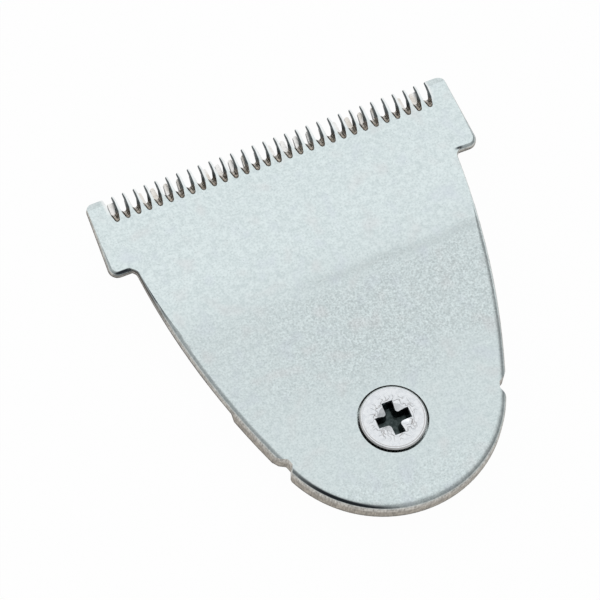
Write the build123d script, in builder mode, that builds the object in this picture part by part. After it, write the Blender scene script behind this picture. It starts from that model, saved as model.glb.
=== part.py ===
from build123d import *
from math import asin, atan2, degrees, hypot, radians, sqrt, tan
import os

# Clip-on blade set of a hair trimmer, lying with its skin face up.
# X runs along the tooth row, +Y points to the teeth and +Z out of the skin face.
# The origin is on the screw's axis, in the plane that the underside rests on. Millimetres.

# Heights above the resting plane and thicknesses
skin_height = 5.0           # skin face of the comb blade
plate_thickness = 1.1       # comb blade between its bar and its tail
pad_thickness = 2.0         # comb blade at its tail
tip_thickness = 0.5         # comb teeth at their tips
cutter_thickness = 0.8
sliding_gap = 0.03          # oil film between the cutter and the comb blade

# Comb row
comb_pitch = 1.083
comb_gap_count = 30
comb_tooth_tip = 0.21       # width of a comb tooth at its tip
comb_tooth_root = 0.39      # width of a comb tooth at its root
comb_gap_length = 2.65      # tips to the end of a gap on the skin face
comb_tip_bevel = 0.07
groove_angle = 32.0         # slanted floor at the end of each gap, to the skin face
groove_floor = 0.2          # flat middle of that floor
groove_bevel = 0.13         # width of the bevel on each side of the flat middle
groove_bevel_angle = 28.0   # bevel to the flat middle
groove_flank_angle = 62.0   # outer part of each side to the flat middle
tip_bevel_run = 0.67        # bevel across the teeth, down to their tips
tip_bevel_depth = 0.36

# Comb blade outline, set out from the screw's axis
tip_reach = 29.85           # screw axis to the tooth tips
bar_length = 7.6            # tooth tips to the rear edge of the bar
end_block = 1.8             # last gap to the front corner of the bar
bar_flare = 0.53            # how much further out each rear corner of the bar is
bar_overhang = 2.4          # rear corner of the bar out past the neck
tail_reach = 8.64           # screw axis to the end of the tail
tail_radius = 11.65
side_radius = 72.4          # long arc of each side, tangent to the tail's arc
front_corner_radius = 0.8
rear_corner_radius = 0.9
neck_corner_radius = 0.5
neck_ease = 0.3             # slanted end of each side, where it meets the bar

# Soft edge that blanking and tumbling leave round the skin face
tail_roll = 0.65            # rounding along the tail and the sides
bar_roll = 0.55             # rounding round the bar
bar_ground = 0.03           # how deep the bar's rear edge is ground into that rounding

# Skin face slope and the step to the thick tail
slope_start = 14.0          # screw axis to where the face begins to fall towards the teeth
slope_blend_radius = 60.0
pad_reach = 5.7             # screw axis to the front of the thick tail
pad_ramp = 0.5

# Latch notches in the tail's edge
notch_lead = 4.05           # each notch's middle past the end of the tail's arc, degrees about its centre
notch_depth = 0.62
notch_floor = 0.6
notch_flank_angle = 48.0    # flank to the notch's own axis
notch_lip = 0.14            # height of the rounder outer part of each flank
notch_lip_angle = 70.0      # that part to the notch's own axis
notch_rounding = 0.2        # rounded corners in the notch

# Cutter
cutter_pitch_ratio = 1.2    # cutter pitch to comb pitch
cutter_tooth_tip = 0.38
cutter_tooth_root = 0.66
cutter_gap_length = 2.0
cutter_tip_bevel = 0.1
cutter_root_bevel = 0.15
cutter_setback = 0.53       # cutter tips behind the comb tips
cutter_rear_gap = 4.1       # step of the tail to the cutter's rear edge
cutter_stroke = 1.08
cutter_rest = 0.2           # cutter at rest to the -X end of its stroke
cutter_edge_margin = 0.06   # cutter's side inside the comb blade's side at the end of its stroke
cutter_bevel_length = 1.5
cutter_bevel_tip = 0.3      # thickness left at the cutter's tips
cutter_corner_radius = 0.2

# Drive follower
follower_setback = 0.6      # cutter's rear edge to the follower
follower_length = 7.2
follower_width = 6.8
follower_lip = 0.6          # flange out past the fork on each side
follower_flange = 0.8
follower_web = 1.0          # floor left over the slot
follower_corner_radius = 0.6
follower_edge_bevel = 0.3
slot_width = 3.2
slot_length = 5.2
slot_lead_in = 0.5
peg_radius = 0.65
peg_spacing = 5.0
peg_clearance = 0.03
peg_short = 0.08            # peg ends below the cutter's sliding face

# Tension spring
wire_diameter = 0.8
wire_gap = 0.05             # wire to the cutter's back and to the retainer
arm_clearance = 0.35        # spring arm to the follower at the end of its stroke
arm_lead = 2.4              # follower's front to the end of each spring arm

# Spring retainer
boss_radius = 2.6
retainer_width = 9.0
retainer_length = 8.0
retainer_corner_radius = 2.0
retainer_chamfer = 0.3

# Screw
head_radius = 3.13
head_clearance = 0.2        # ring round the screw head
head_proud = 0.3            # screw head above the skin face
head_seat = 0.8             # metal left under the screw head
head_chamfer = 0.13
shank_radius = 1.45
shank_clearance = 0.2       # shank in the comb blade
thread_clearance = 0.03     # shank in the retainer
shank_short = 0.6           # screw end above the resting plane
cross_span = 3.3
cross_width = 1.05
cross_rounding = 0.25       # rounded inner corners between the wings
cross_floor = 0.15          # metal left under the recess, to the underside of the head
cross_taper = 10.0
cross_mouth_radius = 1.45   # bevelled corners between the wings
cross_mouth_depth = 0.35

# Modelling values
over = 2.0                  # how far cutting shapes run past the blade
bar_lap = 1.5               # how far the plate of the tail and the sides runs into the bar
groove_run = 0.3            # how far a gap's outline runs on past the end of its floor
touching = 1e-3             # nearer than this counts as touching

# Worked-out heights
plate_z = skin_height - plate_thickness
pad_z = skin_height - pad_thickness
cutter_top = plate_z - sliding_gap
cutter_z = cutter_top - cutter_thickness
wire_z = min(cutter_z, pad_z) - wire_gap - wire_diameter / 2
retainer_top = wire_z - wire_diameter / 2 - wire_gap
tip_z = plate_z + tip_thickness
head_z = pad_z + head_seat
head_top = skin_height + head_proud

# Worked-out places
row_half = comb_pitch * (comb_gap_count - 1) / 2
bar_front_half = row_half + (comb_pitch - comb_tooth_tip) / 2 + end_block
bar_rear_half = bar_front_half + bar_flare
bar_rear = tip_reach - bar_length
neck = Vector(bar_rear_half - bar_overhang, bar_rear - neck_ease)
tail_centre = Vector(0, tail_radius - tail_reach)
gap_end = tip_reach - comb_gap_length
slope = (plate_thickness - tip_thickness) / (tip_reach - slope_start)
bar_top = skin_height - slope * (bar_rear - slope_start) + bar_ground
rest_shift = cutter_rest - cutter_stroke / 2
cutter_tip = tip_reach - cutter_setback
cutter_rear = pad_reach + pad_ramp + cutter_rear_gap
cutter_inset = cutter_stroke / 2 + cutter_edge_margin
cutter_pitch = comb_pitch * cutter_pitch_ratio
cutter_teeth = int((2 * row_half - cutter_stroke) / cutter_pitch) + 1
follower_rear = cutter_rear + follower_setback
follower_front = follower_rear + follower_length
follower_middle = (follower_rear + follower_front) / 2
flange_width = follower_width + 2 * follower_lip
loop_radius = boss_radius + wire_gap + wire_diameter / 2


def tangent_arc_centre(inner, inner_radius, outer_radius, through):
    """Centre, on the -X side, of an arc that touches a smaller one inside it and passes through a point."""
    along = through - inner
    reach = outer_radius - inner_radius
    foot = (reach**2 - outer_radius**2 + along.length**2) / (2 * along.length)
    rise = sqrt(reach**2 - foot**2)
    unit = along.normalized()
    return inner + unit * foot + Vector(-unit.Y, unit.X) * rise


def angle_from(centre, point):
    """Direction of a point from a centre, in degrees from the X axis."""
    return degrees(atan2(point.Y - centre.Y, point.X - centre.X))


side_centre = tangent_arc_centre(tail_centre, tail_radius, side_radius, neck)
join_angle = angle_from(side_centre, tail_centre)
neck_angle = angle_from(side_centre, neck)


def cutter_side(y):
    """Point of the cutter's side, which runs inside the comb blade's side arc."""
    radius = side_radius - cutter_inset
    return Vector(side_centre.X + sqrt(radius**2 - (y - side_centre.Y) ** 2), y)


def corners(sketch, x, y):
    """The two corners of a sketch at plus and minus x."""
    return sketch.vertices().filter_by(
        lambda v: abs(abs(v.X) - x) < touching and abs(v.Y - y) < touching
    )


def tooth_gap(tip, length, tip_width, root_width, tip_bevel, root_bevel):
    """Outline of one gap: flared at the bevelled tooth tips, tapered, with bevelled corners at its end."""
    root = root_width / 2
    mouth = tip_width / 2
    flare = mouth + tip_bevel
    with BuildSketch() as gap:
        with BuildLine():
            Polyline(
                (0, tip - length),
                (root - root_bevel, tip - length),
                (root, tip - length + root_bevel),
                (mouth, tip - tip_bevel),
                (flare, tip),
                (flare, tip + over),
                (0, tip + over),
            )
            mirror(about=Plane.YZ)
        make_face()
    return gap.sketch


comb_gap = tooth_gap(
    tip_reach,
    comb_gap_length + groove_run,
    comb_pitch - comb_tooth_tip,
    comb_pitch - comb_tooth_root,
    comb_tip_bevel,
    comb_tip_bevel,
)
cutter_gap = tooth_gap(
    cutter_tip,
    cutter_gap_length,
    cutter_pitch - cutter_tooth_tip,
    cutter_pitch - cutter_tooth_root,
    cutter_tip_bevel,
    cutter_root_bevel,
)

# Comb gaps as cutting shapes, each with the slanted bevelled floor that a grinding wheel leaves at its end
groove_start = Vector(0, gap_end, skin_height - slope * (gap_end - slope_start))
groove_axis = Vector(0, 1, 0).rotate(Axis.X, -groove_angle)
groove_length = comb_gap_length + over
groove_half = groove_floor / 2 + groove_bevel
bevel_rise = groove_bevel * tan(radians(groove_bevel_angle))
groove_rise = bevel_rise + (comb_pitch / 2 - groove_half) * tan(radians(groove_flank_angle))
with BuildPart() as comb_cuts:
    with BuildSketch(Plane.XY.offset(plate_z - over)):
        with GridLocations(comb_pitch, comb_pitch, comb_gap_count, 1):
            add(comb_gap)
    extrude(amount=plate_thickness + 2 * over)
    with BuildSketch(Plane(groove_start, x_dir=(-1, 0, 0), z_dir=groove_axis)):
        with Locations((0, groove_rise)):
            Rectangle(2 * bar_rear_half, groove_length, align=(Align.CENTER, Align.MIN))
        with GridLocations(comb_pitch, comb_pitch, comb_gap_count, 1):
            Polygon(
                (-groove_floor / 2, 0),
                (groove_floor / 2, 0),
                (groove_half, bevel_rise),
                (comb_pitch / 2, groove_rise),
                (-comb_pitch / 2, groove_rise),
                (-groove_half, bevel_rise),
                align=None,
            )
    extrude(amount=groove_length, both=True, mode=Mode.INTERSECT)

# Latch notches, drawn outwards from the tail arc's centre
notch_reach = tail_radius - notch_depth
notch_throat = notch_floor / 2 + (notch_depth - notch_lip) * tan(radians(notch_flank_angle))
notch_mouth = notch_throat + (notch_lip + over) * tan(radians(notch_lip_angle))
notch_turn = join_angle + notch_lead
notch_places = [Location(tail_centre, (0, 0, turn)) for turn in (notch_turn, 180 - notch_turn)]
with BuildSketch() as notches:
    with Locations(*notch_places):
        Polygon(
            (notch_reach, -notch_floor / 2),
            (tail_radius - notch_lip, -notch_throat),
            (tail_radius + over, -notch_mouth),
            (tail_radius + over, notch_mouth),
            (tail_radius - notch_lip, notch_throat),
            (notch_reach, notch_floor / 2),
            align=None,
        )
    notch_corners = notches.vertices().filter_by(lambda v: (Vector(v) - tail_centre).length < tail_radius)
    fillet(notch_corners, notch_rounding)

# Side section that the comb blade is ground to
with BuildSketch(Plane.YZ) as side_section:
    with BuildLine():
        skin = FilletPolyline(
            (-tail_reach - over, skin_height),
            (slope_start, skin_height),
            (tip_reach + over, tip_z - slope * over),
            radius=slope_blend_radius,
        )
        Polyline(
            skin @ 1,
            (tip_reach + over, plate_z),
            (pad_reach + pad_ramp, plate_z),
            (pad_reach, pad_z),
            (-tail_reach - over, pad_z),
            skin @ 0,
        )
    make_face()

# Tail and sides of the comb blade. Their soft edge is ground away little by little where the face falls.
with BuildPart() as tail_plate:
    with BuildSketch() as tail_plan:
        with BuildLine():
            CenterArc(tail_centre, tail_radius, -90, 90 + join_angle)
            CenterArc(side_centre, side_radius, join_angle, neck_angle - join_angle)
            Polyline(neck, neck + Vector(bar_lap, bar_lap), (0, neck.Y + bar_lap))
            mirror(about=Plane.YZ)
        make_face()
        fillet(corners(tail_plan, neck.X, neck.Y), neck_corner_radius)
    extrude(amount=skin_height)
    tail_wall = tail_plate.faces().filter_by(GeomType.CYLINDER).sort_by(Axis.Y)[0]
    fillet(tail_wall.edges().sort_by(Axis.Z)[-1], tail_roll)
    extrude(side_section.sketch, amount=bar_rear_half + over, both=True, mode=Mode.INTERSECT)

# Comb blade: bar ground in the same way, joined to the tail, then teeth, notches and screw hole
with BuildPart() as comb_blade:
    with BuildSketch() as bar_plan:
        with BuildLine():
            Polyline(
                (0, bar_rear),
                (bar_rear_half, bar_rear),
                (bar_front_half, tip_reach),
                (0, tip_reach),
            )
            mirror(about=Plane.YZ)
        make_face()
        fillet(corners(bar_plan, bar_front_half, tip_reach), front_corner_radius)
        fillet(corners(bar_plan, bar_rear_half, bar_rear), rear_corner_radius)
    extrude(amount=bar_top)
    fillet(comb_blade.faces().sort_by(Axis.Z)[-1].edges(), bar_roll)
    extrude(side_section.sketch, amount=bar_rear_half + over, both=True, mode=Mode.INTERSECT)
    add(tail_plate.part)
    with BuildSketch(Plane.YZ):
        Polygon(
            (tip_reach - tip_bevel_run, tip_z + slope * tip_bevel_run),
            (tip_reach, tip_z - tip_bevel_depth),
            (tip_reach, tip_z + over),
            (tip_reach - tip_bevel_run, tip_z + over),
            align=None,
        )
    extrude(amount=bar_rear_half, both=True, mode=Mode.SUBTRACT)
    add(comb_cuts.part, mode=Mode.SUBTRACT)
    with BuildSketch():
        add(notches.sketch)
    extrude(amount=skin_height + over, mode=Mode.SUBTRACT)
    with Locations((0, 0, skin_height)):
        CounterBoreHole(
            radius=shank_radius + shank_clearance,
            counter_bore_radius=head_radius + head_clearance,
            counter_bore_depth=skin_height - head_z,
        )
comb_blade.part.label = "comb_blade"

# Cutter blade, at rest near the -X end of its stroke
with BuildPart() as cutter_blade:
    with BuildSketch(Plane((rest_shift, 0, cutter_z))) as cutter_plan:
        with BuildLine():
            side = ThreePointArc(
                cutter_side(cutter_rear),
                cutter_side((cutter_rear + cutter_tip) / 2),
                cutter_side(cutter_tip),
            )
            Line((0, cutter_rear), side @ 0)
            Line(side @ 1, (0, cutter_tip))
            mirror(about=Plane.YZ)
        make_face()
        fillet(cutter_plan.vertices().group_by(Axis.Y)[0], cutter_corner_radius)
        with GridLocations(cutter_pitch, cutter_pitch, cutter_teeth - 1, 1):
            add(cutter_gap, mode=Mode.SUBTRACT)
        with Locations((0, follower_middle)):
            with GridLocations(peg_spacing, peg_spacing, 2, 1):
                Circle(peg_radius + peg_clearance, mode=Mode.SUBTRACT)
    extrude(amount=cutter_thickness)
    with BuildSketch(Plane.YZ):
        Polygon(
            (cutter_tip - cutter_bevel_length, cutter_z),
            (cutter_tip + over, cutter_z),
            (cutter_tip + over, cutter_top - cutter_bevel_tip),
            (cutter_tip, cutter_top - cutter_bevel_tip),
            align=None,
        )
    extrude(amount=bar_rear_half, both=True, mode=Mode.SUBTRACT)
cutter_blade.part.label = "cutter_blade"

# Drive follower: flange on the cutter's back, fork round the drive slot, two pegs through the cutter
follower_plane = Plane((rest_shift, follower_middle, cutter_z))
slot_half = slot_width / 2
with BuildPart() as drive_follower:
    with BuildSketch(follower_plane):
        RectangleRounded(flange_width, follower_length, follower_corner_radius)
    extrude(amount=-follower_flange)
    with BuildSketch(follower_plane):
        RectangleRounded(follower_width, follower_length, follower_corner_radius)
    extrude(amount=-cutter_z)
    chamfer(drive_follower.faces().sort_by(Axis.Z)[0].edges(), follower_edge_bevel)
    with BuildSketch(Plane((rest_shift, follower_rear, 0))):
        with BuildLine():
            slot_end = CenterArc((0, slot_length - slot_half), slot_half, 90, -90)
            Polyline(
                slot_end @ 1,
                (slot_half, slot_lead_in),
                (slot_half + slot_lead_in + over, -over),
                (0, -over),
            )
            mirror(about=Plane.YZ)
        make_face()
    extrude(amount=cutter_z - follower_web, mode=Mode.SUBTRACT)
    with BuildSketch(follower_plane):
        with GridLocations(peg_spacing, peg_spacing, 2, 1):
            Circle(peg_radius)
    extrude(amount=cutter_thickness - peg_short)
drive_follower.part.label = "drive_follower"

# Tension spring: a hairpin of wire round the retainer's boss, splayed to pass the follower
arm_pass = flange_width / 2 + cutter_stroke / 2 + arm_clearance + wire_diameter / 2
arm_splay = degrees(
    atan2(arm_pass, follower_rear) - asin(loop_radius / hypot(arm_pass, follower_rear))
)
with BuildPart() as tension_spring:
    with BuildLine(Plane.XY.offset(wire_z)) as wire_path:
        loop = CenterArc((0, 0), loop_radius, -90, 90 - arm_splay)
        arm_length = (follower_front + arm_lead - (loop @ 1).Y) / (loop % 1).Y
        Line(loop @ 1, loop @ 1 + (loop % 1) * arm_length)
        mirror(about=Plane.YZ)
    with BuildSketch(wire_path.line ^ 0):
        Circle(wire_diameter / 2)
    sweep()
tension_spring.part.label = "tension_spring"

# Spring retainer: nut block with a boss that holds the spring's loop
with BuildPart() as spring_retainer:
    with BuildSketch():
        RectangleRounded(retainer_width, retainer_length, retainer_corner_radius)
    extrude(amount=retainer_top)
    chamfer(spring_retainer.faces().sort_by(Axis.Z)[0].edges(), retainer_chamfer)
    with BuildSketch():
        Circle(boss_radius)
    extrude(amount=pad_z)
    Hole(shank_radius + thread_clearance)
spring_retainer.part.label = "spring_retainer"

# Screw with a cross recess
with BuildPart() as screw:
    with BuildSketch(Plane.XY.offset(head_z)):
        Circle(head_radius)
    extrude(amount=head_top - head_z)
    chamfer(screw.faces().sort_by(Axis.Z)[-1].edges(), head_chamfer)
    with BuildSketch(Plane.XY.offset(shank_short)):
        Circle(shank_radius)
    extrude(amount=head_z - shank_short)
    with BuildSketch(Plane.XY.offset(head_top)) as cross:
        Rectangle(cross_span, cross_width)
        Rectangle(cross_width, cross_span)
        for inner in (cross_width / 2, -cross_width / 2):
            fillet(corners(cross, cross_width / 2, inner), cross_rounding)
    extrude(amount=head_z + cross_floor - head_top, taper=cross_taper, mode=Mode.SUBTRACT)
    with Locations((0, 0, head_top - cross_mouth_depth / 2)):
        Cone(cross_width / 2, cross_mouth_radius, cross_mouth_depth, mode=Mode.SUBTRACT)
screw.part.label = "screw"

os.makedirs("parts", exist_ok=True)
for piece in (comb_blade, cutter_blade, drive_follower, tension_spring, spring_retainer, screw):
    export_step(piece.part, f"parts/{piece.part.label}.step")
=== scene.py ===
from math import cos, radians, sin

import bpy
from mathutils import Matrix, Vector


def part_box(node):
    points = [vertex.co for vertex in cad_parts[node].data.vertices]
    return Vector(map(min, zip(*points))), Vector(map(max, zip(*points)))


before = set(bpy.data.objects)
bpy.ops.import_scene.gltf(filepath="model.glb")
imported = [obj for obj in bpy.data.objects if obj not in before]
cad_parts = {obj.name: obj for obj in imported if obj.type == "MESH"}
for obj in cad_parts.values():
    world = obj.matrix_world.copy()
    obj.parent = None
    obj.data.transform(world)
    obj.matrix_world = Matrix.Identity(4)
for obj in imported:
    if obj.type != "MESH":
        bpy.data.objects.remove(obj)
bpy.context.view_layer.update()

MM = 0.001
METAL = 1.0
PLASTIC = 0.0


def rgb(red, green, blue):
    return (red, green, blue, 1.0)


# Places on the blade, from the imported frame
comb_low, comb_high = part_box("comb_blade")
_, screw_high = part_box("screw")
SKIN = comb_high.z                      # skin face of the comb blade, behind its crease
TIPS = comb_high.y                      # ends of the comb teeth
PAD = comb_low.z                        # underside of the thick tail
HEAD_TOP = screw_high.z
HEAD_RADIUS = screw_high.x

# Sizes of the comb blade that its looks follow
PLATE_THICKNESS = 1.1 * MM              # ahead of the thick tail
PLATE = SKIN - PLATE_THICKNESS          # underside there
BAR_LENGTH = 7.6 * MM
BAR_REAR = TIPS - BAR_LENGTH            # rear edge of the bar that carries the teeth
COMB_PITCH = 1.083 * MM
TIP_HALF = 0.105 * MM                   # half the width of a tooth at its tip
TOOTH_TAPER = 0.034                     # slope of a tooth's side
FALL_START = 14.0 * MM                  # where the skin face begins to fall towards the teeth
SKIN_FALL = 0.6 * MM                    # how far it has fallen at the tips
FALL_SLOPE = SKIN_FALL / (TIPS - FALL_START)

# Camera, as the photograph was taken
CAMERA_AZIMUTH = -36.4                  # degrees, 0 looks along +Y
CAMERA_ELEVATION = 67.3
CAMERA_ROLL = 14.0
CAMERA_DISTANCE = 2.4
CAMERA_TARGET = Vector((-3.32 * MM, 13.86 * MM, SKIN))
FRAME_WIDTH = 54.92 * MM                # width of the picture at the target
SENSOR_WIDTH = 36.0                     # Blender's millimetres of sensor

# Floor
FLOOR_SIZE = 6.0
FLOOR_MATT = rgb(0.9, 0.9, 0.9)
FLOOR_WHITE = rgb(1.0, 1.0, 1.0)
WHITE_SHARE = 0.97                      # share of plain white in what is seen of the floor

# Studio: a tent, brightest overhead, a pale drop beyond the teeth and two dimmer sides
TENT = Vector((0.05, 0.4, 0.91)).normalized()       # its brightest part, seen from the blade
TENT_SPREAD = (cos(radians(55)), cos(radians(12)))
TENT_LOW = 0.56
TENT_HIGH = 1.03
DROP_SPREAD = (0.5, 0.8)                # in the Y of a direction
DROP_LIGHT = 0.95
DIM = Vector((-0.7, -0.62, 0.3)).normalized()       # middle of the dimmer side behind the camera
DIM_SPREAD = (cos(radians(38)), cos(radians(20)))
DIM_SHADE = 0.3
RIGHT_SPREAD = (0.45, 0.9)              # in the X of a direction
RIGHT_LIGHT = 0.8
SOFTBOX_PLACE = Vector((-0.45, 0.5, 0.6))
SOFTBOX_TARGET = Vector((0.0, 0.01, 0.0))
SOFTBOX_SIZE = 0.5
SOFTBOX_POWER = 0.5

# Colours of the comb blade
SKIN_DARK = rgb(0.6, 0.683, 0.693)
SKIN_PALE = rgb(0.79, 0.878, 0.885)
SKIN_WARM = rgb(0.72, 0.7, 0.71)
SKIN_BLUE = rgb(0.64, 0.69, 0.77)
SKIN_PIT = rgb(0.32, 0.36, 0.36)
WALL_BURNISHED = rgb(0.52, 0.505, 0.47)
WALL_TORN = rgb(0.36, 0.33, 0.285)
WALL_STREAK = rgb(0.16, 0.14, 0.12)
# painted dark reflection at the top of the left neck's wall
NECK_REFLECTION_DARK = rgb(0.06, 0.055, 0.05)
# painted dark reflection along the rounded edges
EDGE_REFLECTION_DARK = rgb(0.035, 0.042, 0.05)
GAP_FLOOR_DARK = rgb(0.2, 0.17, 0.135)
GAP_FLOOR_PALE = rgb(0.58, 0.52, 0.45)
# painted shade round the edge of each gap's floor
GAP_FLOOR_EDGE_SHADE = rgb(0.1, 0.09, 0.075)
# painted shade on the sides of the gaps
GAP_SIDE_SHADE = rgb(0.05, 0.068, 0.072)
TOOTH_BRIGHT = rgb(0.94, 0.955, 0.955)
# painted shade along the left side of each tooth
TOOTH_EDGE_SHADE = rgb(0.05, 0.07, 0.075)

# Zones of the comb blade's skin, each from where a smooth step begins to where it ends
WORN_REAR = (1.0 * MM, 7.0 * MM)        # the worn middle, also painted with shade, along Y
WORN_FRONT = (13.0 * MM, 15.5 * MM)
WORN_ACROSS = (-14.0 * MM, 2.0 * MM)
CREASE_REAR = (14.1 * MM, 14.8 * MM)    # the crease, along Y
CREASE_FRONT = (14.9 * MM, 15.7 * MM)
CREASE_ACROSS = (-5.0 * MM, 2.0 * MM)
REAR_SHADE_FRONT = (13.0 * MM, 20.0 * MM)     # front end of the painted shade on the rear skin
COARSE_TAIL = (-6.0 * MM, -3.0 * MM)    # front end of the coarse skin at the tail
SHADED_TAIL = (4.0 * MM, 8.0 * MM)      # front end of the shaded right edge of the tail
SHADED_BAR = (20.0 * MM, 22.0 * MM)     # rear end of the shaded right edge of the bar

# Zones of its edge walls
TAIL_WALL = (-1.0 * MM, 0.5 * MM)       # front end of the paler wall
PAD_STEP = (5.6 * MM, 6.2 * MM)         # front end of the thick tail
CUTTER_REAR = (9.6 * MM, 9.9 * MM)      # rear end of the cutter below the plate
WALL_FOOT = (0.05 * MM, 0.4 * MM)       # height of the foot painted darker as shade
TORN_DEPTH = (0.6 * MM, 1.1 * MM)       # depth below the skin at which the wall is torn
NECK_REAR = (15.0 * MM, 19.5 * MM)      # the left neck, painted with a dark reflection, along Y
NECK_FRONT = (BAR_REAR + 0.2 * MM, BAR_REAR + 0.5 * MM)
NECK_HEIGHT = (0.3 * MM, 0.5 * MM)
LEFT_SIDE = (-1.0 * MM, 1.0 * MM)

# Zones of the painted dark reflection in its rounded edges
TAIL_LINE_END = (-0.6 * MM, 0.2 * MM)
TAIL_LINE_FADE = (-4.5 * MM, -0.8 * MM)
REAR_LINE_START = (BAR_REAR + 0.1 * MM, BAR_REAR + 0.18 * MM)
REAR_LINE_END = (BAR_REAR + 0.3 * MM, BAR_REAR + 0.42 * MM)
REAR_LINE_LEFT = (-16.9 * MM, -16.4 * MM)
REAR_LINE_RIGHT = (15.9 * MM, 16.4 * MM)
REAR_LINE_FADE = (16.5 * MM, 17.0 * MM)

# Zones of its teeth
ROW_SIDE = (16.2 * MM, 16.5 * MM)       # ends of the row, to each side
FIRST_TOOTH = (-15.8 * MM, -15.6 * MM)
GAP_END = (TIPS - 2.9 * MM, TIPS - 2.75 * MM)
GAP_FLOOR_FRONT = (TIPS - 1.6 * MM, TIPS - 1.4 * MM)
GAP_SIDE_DARK = (TIPS - 2.0 * MM, TIPS - 1.4 * MM)
GAP_LIP = (0.04 * MM, 0.15 * MM)        # depth below the skin
PALER_TIPS = (TIPS - 2.4 * MM, TIPS - 0.9 * MM)
TOOTH_LINE_REAR = (TIPS - 2.0 * MM, TIPS - 1.6 * MM)
TOOTH_LINE_LEFT = (-0.03 * MM, -0.01 * MM)          # from the tooth's own left side
TOOTH_LINE_RIGHT = (0.045 * MM, 0.1 * MM)

# Facings on it, by the normal along an axis, each from where a smooth step begins to where it ends
UPRIGHT = (0.25, 0.75)                  # walls, by Z without its sign
FORWARD = (0.3, 0.6)                    # faces towards the teeth, by Y
ROUNDED = (0.7, 0.985)                  # rounded edges of the skin, by Z without its sign
SMOOTHER = (0.9, 0.985)                 # their smoother part
SIDE_TURN = (-0.2, 0.2)                 # from the left side to the right, by X
NECK_FACING = (0.05, 0.15)              # by X
TAIL_LINE_FACING = (-0.34, -0.1)        # by X
SIDE_LINE_LOW = (0.48, 0.62)            # by Z
SIDE_LINE_HIGH = (0.84, 0.95)
REAR_LINE_FACING = (0.6, 0.75)
GAP_FLOOR_LOW = (0.0, 0.2)
GAP_FLOOR_HIGH = (0.9, 0.97)
TOOTH_TOP = (0.75, 0.85)
GAP_FLANK = (0.75, 0.95)                # by X without its sign
GAP_SIDE_FACING = (0.78, 0.96)

# Strengths of its marks
# painted shade over the skin's worn middle, crease and rear
MIDDLE_SHADE = 0.05
CREASE_SHADE = 0.13
REAR_SHADE = 0.065
TAIL_COARSE = 0.7
PIT_SHARE = 0.4
LEFT_EDGE_SHADE = 0.2
TAIL_EDGE_SHADE = 0.4
MIDDLE_EDGE_SHADE = 0.03
BAR_EDGE_SHADE = 0.35
NECK_SHARE = 0.95
PALER_TIPS_SHARE = 0.75

# Colours of the other pieces, and the cutter's facings
# painted light on the cutter's face
CUTTER_FACE_LIT = rgb(0.9, 0.895, 0.88)
CUTTER_FACE_STAIN = rgb(0.76, 0.72, 0.66)
CUTTER_BACK = rgb(0.6, 0.615, 0.615)
CUTTER_BACK_STAIN = rgb(0.54, 0.535, 0.515)
# painted shade on the cutter's sides
CUTTER_SIDE_SHADE_DARK = rgb(0.13, 0.13, 0.125)
CUTTER_SIDE_SHADE_PALE = rgb(0.2, 0.195, 0.185)
CUTTER_TOP = (0.3, 0.8)                 # faces up, by the normal's Z
CUTTER_UNDER = (-0.8, -0.3)             # faces down
FOLLOWER_DARK = rgb(0.035, 0.035, 0.038)
FOLLOWER_PALE = rgb(0.06, 0.06, 0.063)
WIRE_GREY = rgb(0.47, 0.48, 0.5)
WIRE_STRAW = rgb(0.56, 0.54, 0.5)
ZINC_BLUE = rgb(0.44, 0.465, 0.48)
ZINC_YELLOW = rgb(0.5, 0.485, 0.43)
SCREW_DARK = rgb(0.68, 0.71, 0.74)
SCREW_PALE = rgb(0.82, 0.845, 0.87)
SCREW_BURR = rgb(0.3, 0.28, 0.27)
SCREW_SCRAPE = rgb(0.22, 0.2, 0.19)
SCREW_LINE = rgb(0.25, 0.21, 0.18)
SCREW_RIM = rgb(0.55, 0.52, 0.47)
# painted shade on the screw's sunk side
SCREW_SIDE_SHADE = rgb(0.015, 0.015, 0.016)
# painted shade in the cross recess
RECESS_SHADE_DARK = rgb(0.03, 0.041, 0.041)
RECESS_SHADE_PALE = rgb(0.075, 0.095, 0.095)

# Zones of the screw's head, by radius unless another measure is named
BURR_INNER = (1.3 * MM, 1.5 * MM)
BURR_OUTER = (2.0 * MM, 2.5 * MM)
BURR_WIDTH = (0.006, 0.022)             # in levels of its noise
BURR_SHARE = 0.4
SCRAPE_RADIUS = 1.75 * MM
SCRAPE_WIDTH = (0.02 * MM, 0.06 * MM)
SCRAPE_WAVE = 0.9 * MM
SCRAPE_SHARE = 0.75
LINE_RADIUS = 0.915 * HEAD_RADIUS
LINE_WIDTH = (0.015 * MM, 0.05 * MM)
LINE_FADE = (-1.0 * MM, 1.5 * MM)       # along Y
RIM_START = (2.6 * MM, 2.8 * MM)
RIM_FACING = (0.55, 0.95)               # by the normal's Z
SIDE_START = (0.9 * HEAD_RADIUS, 0.97 * HEAD_RADIUS)
SIDE_TOP = (SKIN - 0.02 * MM, SKIN + 0.06 * MM)     # along Z
RECESS_REACH = (0.6 * HEAD_RADIUS, 0.66 * HEAD_RADIUS)
RECESS_TOP = (HEAD_TOP - 0.45 * MM, HEAD_TOP - 0.2 * MM)    # along Z


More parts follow.
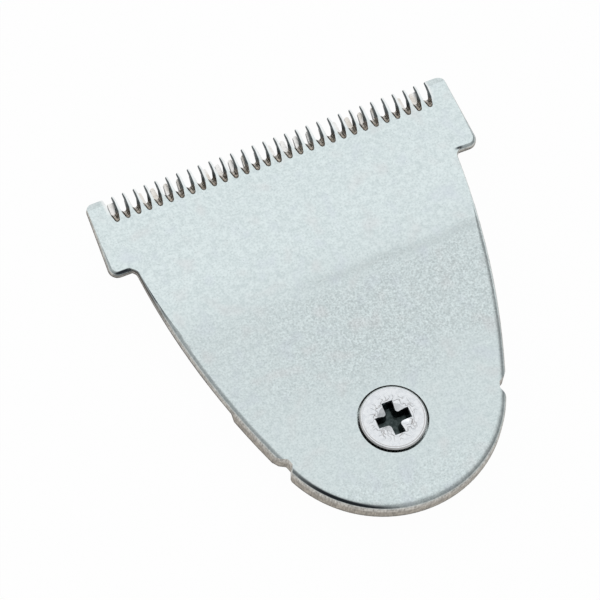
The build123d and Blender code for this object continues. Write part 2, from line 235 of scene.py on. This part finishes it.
class Shader:
    """A node tree with short forms for the nodes used here.

    A value is a number, a colour or a socket.
    """

    MIX_FIRST = 6               # places of the colour sockets on Blender's mix node
    MIX_SECOND = 7
    MIX_RESULT = 2
    NOISE_MIDDLE = 0.5
    NOISE_RANGE = (0.3, 0.7)    # where most of it lies

    def __init__(self, tree):
        self.tree = tree

    def node(self, kind, inputs=None, **settings):
        made = self.tree.nodes.new(kind)
        for key, value in settings.items():
            setattr(made, key, value)
        for key, value in (inputs or {}).items():
            self.feed(made.inputs[key], value)
        return made

    def feed(self, socket, value):
        if isinstance(value, bpy.types.NodeSocket):
            self.tree.links.new(value, socket)
        else:
            socket.default_value = value

    def math(self, operation, first, second=0.0):
        made = self.node("ShaderNodeMath", {0: first, 1: second}, operation=operation)
        return made.outputs[0]

    def add(self, first, second):
        return self.math("ADD", first, second)

    def subtract(self, first, second):
        return self.math("SUBTRACT", first, second)

    def absolute(self, value):
        return self.math("ABSOLUTE", value)

    def times(self, product, *factors):
        for factor in factors:
            product = self.math("MULTIPLY", product, factor)
        return product

    def largest(self, result, *others):
        for other in others:
            result = self.math("MAXIMUM", result, other)
        return result

    def ramp(self, value, low, high, out_low=0.0, out_high=1.0):
        """A value taken smoothly from one range to another, and held outside it."""
        made = self.node("ShaderNodeMapRange", {"Value": value}, interpolation_type="SMOOTHSTEP")
        self.feed(made.inputs["From Min"], low)
        self.feed(made.inputs["From Max"], high)
        self.feed(made.inputs["To Min"], out_low)
        self.feed(made.inputs["To Max"], out_high)
        return made.outputs["Result"]

    def fall(self, value, low, high):
        """A smooth step down, from 1 below the range to 0 above it."""
        return self.ramp(value, low, high, 1.0, 0.0)

    def near(self, value, middle, inner, outer):
        """1 close to a middle value, falling to 0 between two distances from it."""
        return self.fall(self.absolute(self.subtract(value, middle)), inner, outer)

    def spread(self, noise, out_low, out_high):
        """Noise spread over a range."""
        return self.ramp(noise, *self.NOISE_RANGE, out_low, out_high)

    def waver(self, value, noise, width):
        """A value moved to and fro by noise, over that width."""
        return self.add(value, self.times(self.subtract(noise, self.NOISE_MIDDLE), width))

    def mix(self, share, first, second):
        made = self.node("ShaderNodeMix", data_type="RGBA")
        self.feed(made.inputs["Factor"], share)
        self.feed(made.inputs[self.MIX_FIRST], first)
        self.feed(made.inputs[self.MIX_SECOND], second)
        return made.outputs[self.MIX_RESULT]

    def shade(self, color, factor):
        made = self.node("ShaderNodeVectorMath", {0: color, "Scale": factor}, operation="SCALE")
        return made.outputs["Vector"]

    def split(self, vector):
        return self.node("ShaderNodeSeparateXYZ", {"Vector": vector}).outputs

    def noise(self, place, size, detail=2.0, stretch=(1.0, 1.0, 1.0)):
        """Noise with features of about that size in metres, longer along an axis by its stretch."""
        scale = tuple(1.0 / (size * s) for s in stretch)
        mapped = self.node("ShaderNodeMapping", {"Vector": place, "Scale": scale}).outputs["Vector"]
        made = self.node("ShaderNodeTexNoise", {"Vector": mapped, "Scale": 1.0, "Detail": detail})
        return made.outputs["Fac"]

    def bump(self, height, depth, normal=None):
        made = self.node("ShaderNodeBump", {"Height": height, "Distance": depth})
        if normal is not None:
            self.feed(made.inputs["Normal"], normal)
        return made.outputs["Normal"]


class Surface(Shader):
    """One material, with its place on the object and its surface shader."""

    def __init__(self, name, metallic):
        self.material = bpy.data.materials.new(name)
        self.material.use_nodes = True
        super().__init__(self.material.node_tree)
        self.shader = self.tree.nodes["Principled BSDF"]
        self.shader.inputs["Metallic"].default_value = metallic
        self.place = self.node("ShaderNodeTexCoord").outputs["Object"]

    def facing(self):
        """The surface's normal, along X, Y and Z."""
        return self.split(self.node("ShaderNodeNewGeometry").outputs["Normal"])

    def finish(self, color, roughness, normal):
        self.feed(self.shader.inputs["Base Color"], color)
        self.feed(self.shader.inputs["Roughness"], roughness)
        self.feed(self.shader.inputs["Normal"], normal)
        return self.material


class CombSteel(Surface):
    """Tumbled steel plate: pale speckled skin, sheared grey walls, dark gaps and bright worn teeth."""

    def __init__(self, name):
        super().__init__(name, METAL)
        self.x, self.y, self.z = self.split(self.place)
        self.across, self.along, self.up = self.facing()
        self.flatness = self.absolute(self.up)
        self.sideways = self.absolute(self.across)

        self.speckle = self.noise(self.place, 0.2 * MM, detail=2.0)
        self.mottle = self.noise(self.place, 0.5 * MM, detail=3.0)
        self.cloud = self.noise(self.place, 3.0 * MM, detail=2.0, stretch=(1.8, 1.0, 1.0))
        self.streak = self.noise(self.place, 0.13 * MM, detail=3.0, stretch=(1.0, 1.0, 6.0))
        self.grain = self.add(self.times(self.speckle, 0.6), self.times(self.mottle, 0.4))

        upright = self.fall(self.flatness, *UPRIGHT)
        self.is_wall = self.times(upright, self.fall(self.along, *FORWARD))
        self.over = self.subtract(self.z, self.ramp(self.y, *PAD_STEP, PAD, PLATE))
        self.at_neck = self.times(
            self.ramp(self.y, *NECK_REAR, 0.0, NECK_SHARE),
            self.fall(self.y, *NECK_FRONT),
            self.fall(self.x, *LEFT_SIDE),
            self.fall(self.across, *NECK_FACING),
        )
        row = self.fall(self.absolute(self.x), *ROW_SIDE)
        self.in_teeth = self.times(self.ramp(self.y, *GAP_END), row)

    def skin(self):
        """Skin face: fine grain, a coarser worn middle, painted shade at the middle, crease and rear,
        and shaded rounded edges.
        """
        tint = self.noise(self.place, 2.2 * MM, detail=1.0)
        color = self.mix(self.ramp(self.grain, 0.33, 0.67), SKIN_DARK, SKIN_PALE)
        color = self.mix(self.ramp(tint, 0.55, 0.8, 0.0, 0.3), color, SKIN_WARM)
        color = self.mix(self.ramp(tint, 0.45, 0.2, 0.0, 0.35), color, SKIN_BLUE)

        worn_y = self.waver(self.y, self.cloud, 6.0 * MM)
        worn = self.times(self.ramp(worn_y, *WORN_REAR), self.fall(worn_y, *WORN_FRONT))
        worn = self.times(worn, self.ramp(self.x, *WORN_ACROSS, 0.4, 1.0))
        crease_y = self.waver(self.y, self.cloud, 1.5 * MM)
        crease = self.times(
            self.ramp(crease_y, *CREASE_REAR),
            self.fall(crease_y, *CREASE_FRONT),
            self.ramp(self.x, *CREASE_ACROSS),
            self.ramp(self.mottle, 0.25, 0.65),
        )
        # Painted shade over the worn middle, at the crease and over the rear
        painted_shade = self.add(self.times(worn, MIDDLE_SHADE), self.times(crease, CREASE_SHADE))
        painted_shade = self.add(painted_shade, self.ramp(self.y, *REAR_SHADE_FRONT, REAR_SHADE, 0.0))
        color = self.shade(color, self.subtract(1.0, painted_shade))

        coarse = self.largest(worn, self.ramp(self.y, *COARSE_TAIL, TAIL_COARSE, 0.0))
        contrast = self.spread(self.noise(self.place, 0.17 * MM, detail=4.0), 0.84, 1.14)
        contrast = self.times(self.subtract(contrast, 1.0), coarse)
        color = self.shade(color, self.add(1.0, contrast))
        pits = self.noise(self.place, 0.14 * MM, detail=1.0)
        pits = self.ramp(pits, 0.66, 0.76, 0.0, PIT_SHARE)
        color = self.mix(pits, color, SKIN_PIT)

        at_tail = self.ramp(self.y, *SHADED_TAIL, TAIL_EDGE_SHADE, MIDDLE_EDGE_SHADE)
        at_bar = self.ramp(self.y, *SHADED_BAR, 0.0, BAR_EDGE_SHADE)
        right_shade = self.largest(at_tail, at_bar)
        edge_shade = self.ramp(self.across, *SIDE_TURN, LEFT_EDGE_SHADE, right_shade)
        edge_shade = self.times(edge_shade, self.fall(self.flatness, *ROUNDED))
        return self.shade(color, self.subtract(1.0, edge_shade))

    def wall(self):
        """Sheared edge walls: burnished above, torn and browner below, painted shade at the foot, a
        painted dark reflection at the left neck.
        """
        depth = self.waver(self.subtract(SKIN, self.z), self.streak, 0.5 * MM)
        color = self.mix(self.ramp(depth, *TORN_DEPTH), WALL_BURNISHED, WALL_TORN)
        color = self.mix(self.ramp(self.streak, 0.34, 0.6, 0.55, 0.0), color, WALL_STREAK)
        color = self.shade(color, self.ramp(self.y, *TAIL_WALL, 1.12, 1.0))
        # Painted shade at the foot of the wall, deeper ahead of the cutter's rear end, where the cutter
        # lies below
        foot = self.ramp(self.y, *CUTTER_REAR, 0.55, 0.2)
        color = self.shade(color, self.ramp(self.over, *WALL_FOOT, foot, 1.0))
        color = self.shade(color, self.ramp(self.mottle, 0.35, 0.65, 0.82, 1.18))
        # Painted dark reflection along the top of the left neck's wall
        stain_and_reflection = self.times(self.at_neck, self.ramp(self.over, *NECK_HEIGHT))
        return self.mix(stain_and_reflection, color, NECK_REFLECTION_DARK)

    def dark_edge_reflection(self):
        """Painted dark reflection in the rounded edges: the tail's left half, the bar's rear and the
        left neck.
        """
        at_tail = self.times(
            self.fall(self.y, *TAIL_LINE_END),
            self.ramp(self.y, *TAIL_LINE_FADE, 1.0, 0.4),
            self.fall(self.across, *TAIL_LINE_FACING),
        )
        rounded = self.times(self.ramp(self.up, *SIDE_LINE_LOW), self.fall(self.up, *SIDE_LINE_HIGH))
        at_sides = self.times(rounded, self.largest(at_tail, self.at_neck))

        beside_neck = self.times(
            self.ramp(self.x, *REAR_LINE_RIGHT),
            self.ramp(self.x, *REAR_LINE_FADE, 1.0, 0.12),
        )
        at_rear = self.times(
            self.ramp(self.y, *REAR_LINE_START),
            self.fall(self.y, *REAR_LINE_END),
            self.largest(beside_neck, self.fall(self.x, *REAR_LINE_LEFT)),
            self.ramp(self.up, *REAR_LINE_FACING),
        )
        return self.largest(at_sides, at_rear)

    def with_gaps(self, color):
        """Tooth gaps: sides painted dark as shade, and a brownish slanted floor at the end of each,
        with painted shade round its edges.
        """
        floor = self.mix(self.ramp(self.speckle, 0.38, 0.62), GAP_FLOOR_DARK, GAP_FLOOR_PALE)
        # Gap sides painted dark as shade towards the tips, and as a darker copy of the floor at the
        # gap's end
        side = self.mix(self.ramp(self.y, *GAP_SIDE_DARK), self.shade(floor, 0.75), GAP_SIDE_SHADE)
        face = self.subtract(SKIN, self.times(self.subtract(self.y, FALL_START), FALL_SLOPE))
        lip = self.fall(self.subtract(face, self.z), *GAP_LIP)
        flank = self.ramp(self.sideways, *GAP_FLANK)
        # Floor's lip and flanks painted dark as shade
        floor = self.mix(self.largest(lip, flank), floor, GAP_FLOOR_EDGE_SHADE)
        is_floor = self.times(
            self.in_teeth,
            self.fall(self.y, *GAP_FLOOR_FRONT),
            self.ramp(self.up, *GAP_FLOOR_LOW),
            self.fall(self.up, *GAP_FLOOR_HIGH),
        )
        color = self.mix(is_floor, color, floor)
        is_side = self.times(self.in_teeth, self.ramp(self.sideways, *GAP_SIDE_FACING))
        return self.mix(is_side, color, side)

    def with_teeth(self, color):
        """Teeth paler towards their tips, with painted shade along the left side of each."""
        # Tops of the teeth paler towards their tips
        paler_tips = self.times(self.in_teeth, self.ramp(self.y, *PALER_TIPS, 0.0, PALER_TIPS_SHARE))
        paler_tips = self.times(paler_tips, self.ramp(self.up, *TOOTH_TOP))
        color = self.mix(paler_tips, color, TOOTH_BRIGHT)
        tooth = self.times(self.math("ROUND", self.math("DIVIDE", self.x, COMB_PITCH)), COMB_PITCH)
        half = self.add(self.times(self.subtract(TIPS, self.y), TOOTH_TAPER), TIP_HALF)
        from_side = self.add(self.subtract(self.x, tooth), half)
        # Painted shade along each tooth's left side
        line = self.times(
            self.in_teeth,
            self.ramp(from_side, *TOOTH_LINE_LEFT),
            self.fall(from_side, *TOOTH_LINE_RIGHT),
            self.ramp(self.y, *TOOTH_LINE_REAR),
            self.ramp(self.x, *FIRST_TOOTH),
        )
        return self.mix(line, color, TOOTH_EDGE_SHADE)

    def roughness(self):
        smooth_edge = self.ramp(self.flatness, *SMOOTHER, 0.5, 1.0)
        face = self.times(self.spread(self.grain, 0.3, 0.44), smooth_edge)
        return self.largest(face, self.times(self.is_wall, 0.5))

    def relief(self):
        normal = self.bump(self.grain, 0.01 * MM)
        normal = self.bump(self.cloud, 0.04 * MM, normal)
        return self.bump(self.times(self.streak, self.is_wall), 0.03 * MM, normal)


def ground_steel():
    s = CombSteel("ground_steel")
    color = s.mix(s.is_wall, s.skin(), s.wall())
    # Rounded edges painted with a dark reflection
    color = s.mix(s.dark_edge_reflection(), color, EDGE_REFLECTION_DARK)
    color = s.with_teeth(s.with_gaps(color))
    return s.finish(color, s.roughness(), s.relief())


def cutter_steel():
    """Ground steel with lines along the row: a stained face painted pale as light, greyer back, sides
    painted dark as shade.
    """
    s = Surface("cutter_steel", METAL)
    _, _, up = s.facing()
    lines = s.noise(s.place, 0.06 * MM, detail=3.0, stretch=(40.0, 1.0, 1.0))
    stain_and_reflection = s.noise(s.place, 1.6 * MM, detail=3.0)
    # Face painted pale as light, with stains
    face = s.mix(s.ramp(stain_and_reflection, 0.4, 0.62), CUTTER_FACE_LIT, CUTTER_FACE_STAIN)
    back = s.mix(s.ramp(stain_and_reflection, 0.25, 0.75), CUTTER_BACK, CUTTER_BACK_STAIN)
    back = s.shade(back, s.spread(lines, 0.88, 1.1))
    # Sides painted dark as shade
    side = s.mix(s.ramp(lines, 0.35, 0.65), CUTTER_SIDE_SHADE_DARK, CUTTER_SIDE_SHADE_PALE)
    color = s.mix(s.ramp(up, *CUTTER_TOP), side, face)
    color = s.mix(s.fall(up, *CUTTER_UNDER), color, back)
    roughness = s.spread(lines, 0.28, 0.45)
    return s.finish(color, roughness, s.bump(lines, 0.01 * MM))


def follower_plastic():
    """Dark moulded plastic with a fine sparked texture."""
    s = Surface("follower_plastic", PLASTIC)
    grain = s.noise(s.place, 0.12 * MM, detail=2.0)
    patch = s.noise(s.place, 2.5 * MM, detail=2.0)
    color = s.mix(s.spread(patch, 0.0, 1.0), FOLLOWER_DARK, FOLLOWER_PALE)
    roughness = s.spread(grain, 0.42, 0.6)
    return s.finish(color, roughness, s.bump(grain, 0.02 * MM))


def spring_wire():
    """Drawn spring wire, with fine marks and a faint straw tint."""
    s = Surface("spring_wire", METAL)
    marks = s.noise(s.place, 0.08 * MM, detail=2.0, stretch=(1.0, 16.0, 1.0))
    tint = s.noise(s.place, 2.0 * MM, detail=2.0)
    color = s.mix(s.ramp(tint, 0.35, 0.65), WIRE_GREY, WIRE_STRAW)
    roughness = s.spread(marks, 0.24, 0.4)
    return s.finish(color, roughness, s.bump(marks, 0.008 * MM))


def retainer_steel():
    """Zinc-plated block with a faint passivation tint and tumbling marks."""
    s = Surface("retainer_steel", METAL)
    marks = s.noise(s.place, 0.25 * MM, detail=4.0)
    film = s.noise(s.place, 3.0 * MM, detail=2.0)
    color = s.mix(s.ramp(film, 0.35, 0.65), ZINC_BLUE, ZINC_YELLOW)
    roughness = s.spread(marks, 0.3, 0.5)
    return s.finish(color, roughness, s.bump(marks, 0.012 * MM))


def plated_screw():
    """Bright plated screw with a driver-worn head, its cross recess and sunk side painted dark as
    shade.
    """
    s = Surface("plated_screw", METAL)
    x, y, z = s.split(s.place)
    _, _, up = s.facing()
    flat_place = s.node("ShaderNodeCombineXYZ", {"X": x, "Y": y, "Z": 0.0}).outputs["Vector"]
    radius = s.node("ShaderNodeVectorMath", {0: flat_place}, operation="LENGTH").outputs["Value"]
    marks = s.noise(s.place, 0.3 * MM, detail=4.0)
    color = s.mix(s.spread(marks, 0.0, 1.0), SCREW_DARK, SCREW_PALE)

    # Burrs and scrapes that the driver has left round the recess, and a turned line near the rim
    curl = s.noise(flat_place, 0.75 * MM, detail=1.0)
    ring = s.times(s.ramp(radius, *BURR_INNER), s.fall(radius, *BURR_OUTER))
    burr = s.times(s.near(curl, s.NOISE_MIDDLE, *BURR_WIDTH), ring)
    color = s.mix(s.times(burr, BURR_SHARE), color, SCREW_BURR)
    scrape = s.near(s.waver(radius, curl, SCRAPE_WAVE), SCRAPE_RADIUS, *SCRAPE_WIDTH)
    scrape = s.times(scrape, s.ramp(marks, 0.4, 0.6), SCRAPE_SHARE)
    color = s.mix(scrape, color, SCREW_SCRAPE)
    line = s.times(s.near(radius, LINE_RADIUS, *LINE_WIDTH), s.ramp(y, *LINE_FADE, 0.6, 0.15))
    color = s.mix(line, color, SCREW_LINE)

    # Rim, and the sunk side and recess painted dark as shade
    rim = s.times(s.fall(up, *RIM_FACING), s.ramp(radius, *RIM_START, 0.0, 0.6))
    color = s.mix(rim, color, SCREW_RIM)
    # Head's side below the skin painted black as shade
    sunk_side_shade = s.times(s.fall(z, *SIDE_TOP), s.ramp(radius, *SIDE_START))
    color = s.mix(sunk_side_shade, color, SCREW_SIDE_SHADE)
    # Cross recess painted dark as shade
    recess = s.times(s.fall(z, *RECESS_TOP), s.fall(radius, *RECESS_REACH))
    recess_shade = s.mix(s.ramp(marks, 0.35, 0.7), RECESS_SHADE_DARK, RECESS_SHADE_PALE)
    color = s.mix(recess, color, recess_shade)

    roughness = s.spread(marks, 0.2, 0.34)
    relief = s.bump(burr, 0.02 * MM, s.bump(marks, 0.012 * MM))
    return s.finish(color, roughness, relief)


def floor_white():
    """Plain floor, white to the camera and in reflections, that keeps a soft shadow."""
    material = bpy.data.materials.new("floor_white")
    material.use_nodes = True
    s = Shader(material.node_tree)
    s.tree.nodes.clear()
    path = s.node("ShaderNodeLightPath").outputs
    seen = s.largest(path["Is Camera Ray"], path["Is Glossy Ray"], path["Is Transmission Ray"])
    matt = s.node("ShaderNodeBsdfDiffuse", {"Color": FLOOR_MATT})
    white = s.node("ShaderNodeEmission", {"Color": FLOOR_WHITE, "Strength": 1.0})
    share = s.times(seen, WHITE_SHARE)
    both = s.node("ShaderNodeMixShader", {0: share, 1: matt.outputs[0], 2: white.outputs[0]})
    s.node("ShaderNodeOutputMaterial", {"Surface": both.outputs[0]})
    return material


def add_floor():
    half = FLOOR_SIZE / 2
    corners = [(-half, -half, 0), (half, -half, 0), (half, half, 0), (-half, half, 0)]
    mesh = bpy.data.meshes.new("floor")
    mesh.from_pydata(corners, [], [(0, 1, 2, 3)])
    mesh.materials.append(floor_white())
    floor = bpy.data.objects.new("floor", mesh)
    bpy.context.scene.collection.objects.link(floor)


def add_studio():
    """A pale tent overhead, greyer low down, with a pale drop beyond the teeth and two dimmer sides."""
    world = bpy.data.worlds.new("studio")
    bpy.context.scene.world = world
    world.use_nodes = True
    s = Shader(world.node_tree)
    s.tree.nodes.clear()
    way = s.node("ShaderNodeTexCoord").outputs["Generated"]
    x, y, _ = s.split(way)

    def towards(direction):
        made = s.node("ShaderNodeVectorMath", {0: way, 1: direction}, operation="DOT_PRODUCT")
        return made.outputs["Value"]

    tent = s.ramp(towards(TENT), *TENT_SPREAD, TENT_LOW, TENT_HIGH)
    drop = s.ramp(y, *DROP_SPREAD, 0.0, DROP_LIGHT)
    behind = s.ramp(towards(DIM), *DIM_SPREAD, 1.0, 1.0 - DIM_SHADE)
    right = s.ramp(x, *RIGHT_SPREAD, 1.0, RIGHT_LIGHT)
    light = s.times(s.largest(tent, drop), behind, right)
    background = s.node("ShaderNodeBackground", {"Color": light, "Strength": 1.0})
    s.node("ShaderNodeOutputWorld", {"Surface": background.outputs[0]})


def add_softbox():
    lamp = bpy.data.lights.new("softbox", "AREA")
    lamp.size = SOFTBOX_SIZE
    lamp.energy = SOFTBOX_POWER
    softbox = bpy.data.objects.new("softbox", lamp)
    softbox.location = SOFTBOX_PLACE
    softbox.rotation_euler = (SOFTBOX_TARGET - SOFTBOX_PLACE).to_track_quat("-Z", "Y").to_euler()
    bpy.context.scene.collection.objects.link(softbox)


def add_camera():
    azimuth = radians(CAMERA_AZIMUTH)
    elevation = radians(CAMERA_ELEVATION)
    back = Vector((sin(azimuth) * cos(elevation), -cos(azimuth) * cos(elevation), sin(elevation)))
    level = Vector((cos(azimuth), sin(azimuth), 0.0))
    right = Matrix.Rotation(radians(CAMERA_ROLL), 3, back) @ level
    up = back.cross(right)
    lens = bpy.data.cameras.new("camera")
    lens.sensor_width = SENSOR_WIDTH
    lens.lens = SENSOR_WIDTH * CAMERA_DISTANCE / FRAME_WIDTH
    camera = bpy.data.objects.new("camera", lens)
    turn = Matrix((right, up, back)).transposed().to_4x4()
    camera.matrix_world = Matrix.Translation(CAMERA_TARGET + back * CAMERA_DISTANCE) @ turn
    bpy.context.scene.collection.objects.link(camera)
    bpy.context.scene.camera = camera


def dress(node, material):
    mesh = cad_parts[node].data
    mesh.materials.clear()
    mesh.materials.append(material)


dress("comb_blade", ground_steel())
dress("cutter_blade", cutter_steel())
dress("drive_follower", follower_plastic())
dress("tension_spring", spring_wire())
dress("spring_retainer", retainer_steel())
dress("screw", plated_screw())

add_floor()
add_studio()
add_softbox()
add_camera()
bpy.context.scene.view_settings.view_transform = "Standard"
